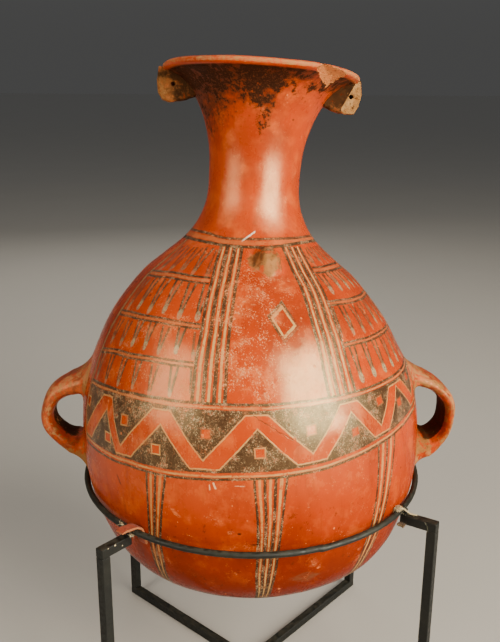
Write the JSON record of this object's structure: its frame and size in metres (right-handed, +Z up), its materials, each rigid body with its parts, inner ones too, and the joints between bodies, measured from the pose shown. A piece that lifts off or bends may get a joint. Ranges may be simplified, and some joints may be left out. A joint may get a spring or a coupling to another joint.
{
  "type": "aryballos jar on a ring stand",
  "caption": "Pointed-base pottery jar with a flared neck, strap handles and pierced lugs, painted with bands and pendants, held upright in a low iron ring stand.",
  "frame": {"origin": "on the floor, in the underside of the long base bar, under the middle of the stand", "axes": "+Z up along the jar; -Y towards the jar's painted front; +X towards its right handle as seen from the front"},
  "size_m": [0.4641, 0.3882, 0.7269],
  "materials": {
    "slipped_clay": "burnished red slip, painted, worn, no glaze",
    "stand_iron": "dull black-grey paint on square bar and round rod",
    "red_pad": "matt terracotta strip",
    "pale_pad": "matt cream strip"
  },
  "bodies": {
    "root": {"arm_back_left": "stand_iron", "arm_back_right": "stand_iron", "arm_front_left": "stand_iron", "arm_front_right": "stand_iron", "base_bar_left": "stand_iron", "base_bar_long": "stand_iron", "base_bar_right": "stand_iron", "jar": "slipped_clay", "leg_back_left": "stand_iron", "leg_back_right": "stand_iron", "leg_front_left": "stand_iron", "leg_front_right": "stand_iron", "pad_back_left": "red_pad", "pad_back_right": "red_pad", "pad_front_left": "red_pad", "pad_front_right": "pale_pad", "ring": "stand_iron", "ring_stub_back_left": "stand_iron", "ring_stub_back_right": "stand_iron", "ring_stub_front_left": "stand_iron", "ring_stub_front_right": "stand_iron"}
  },
  "joints": []
}
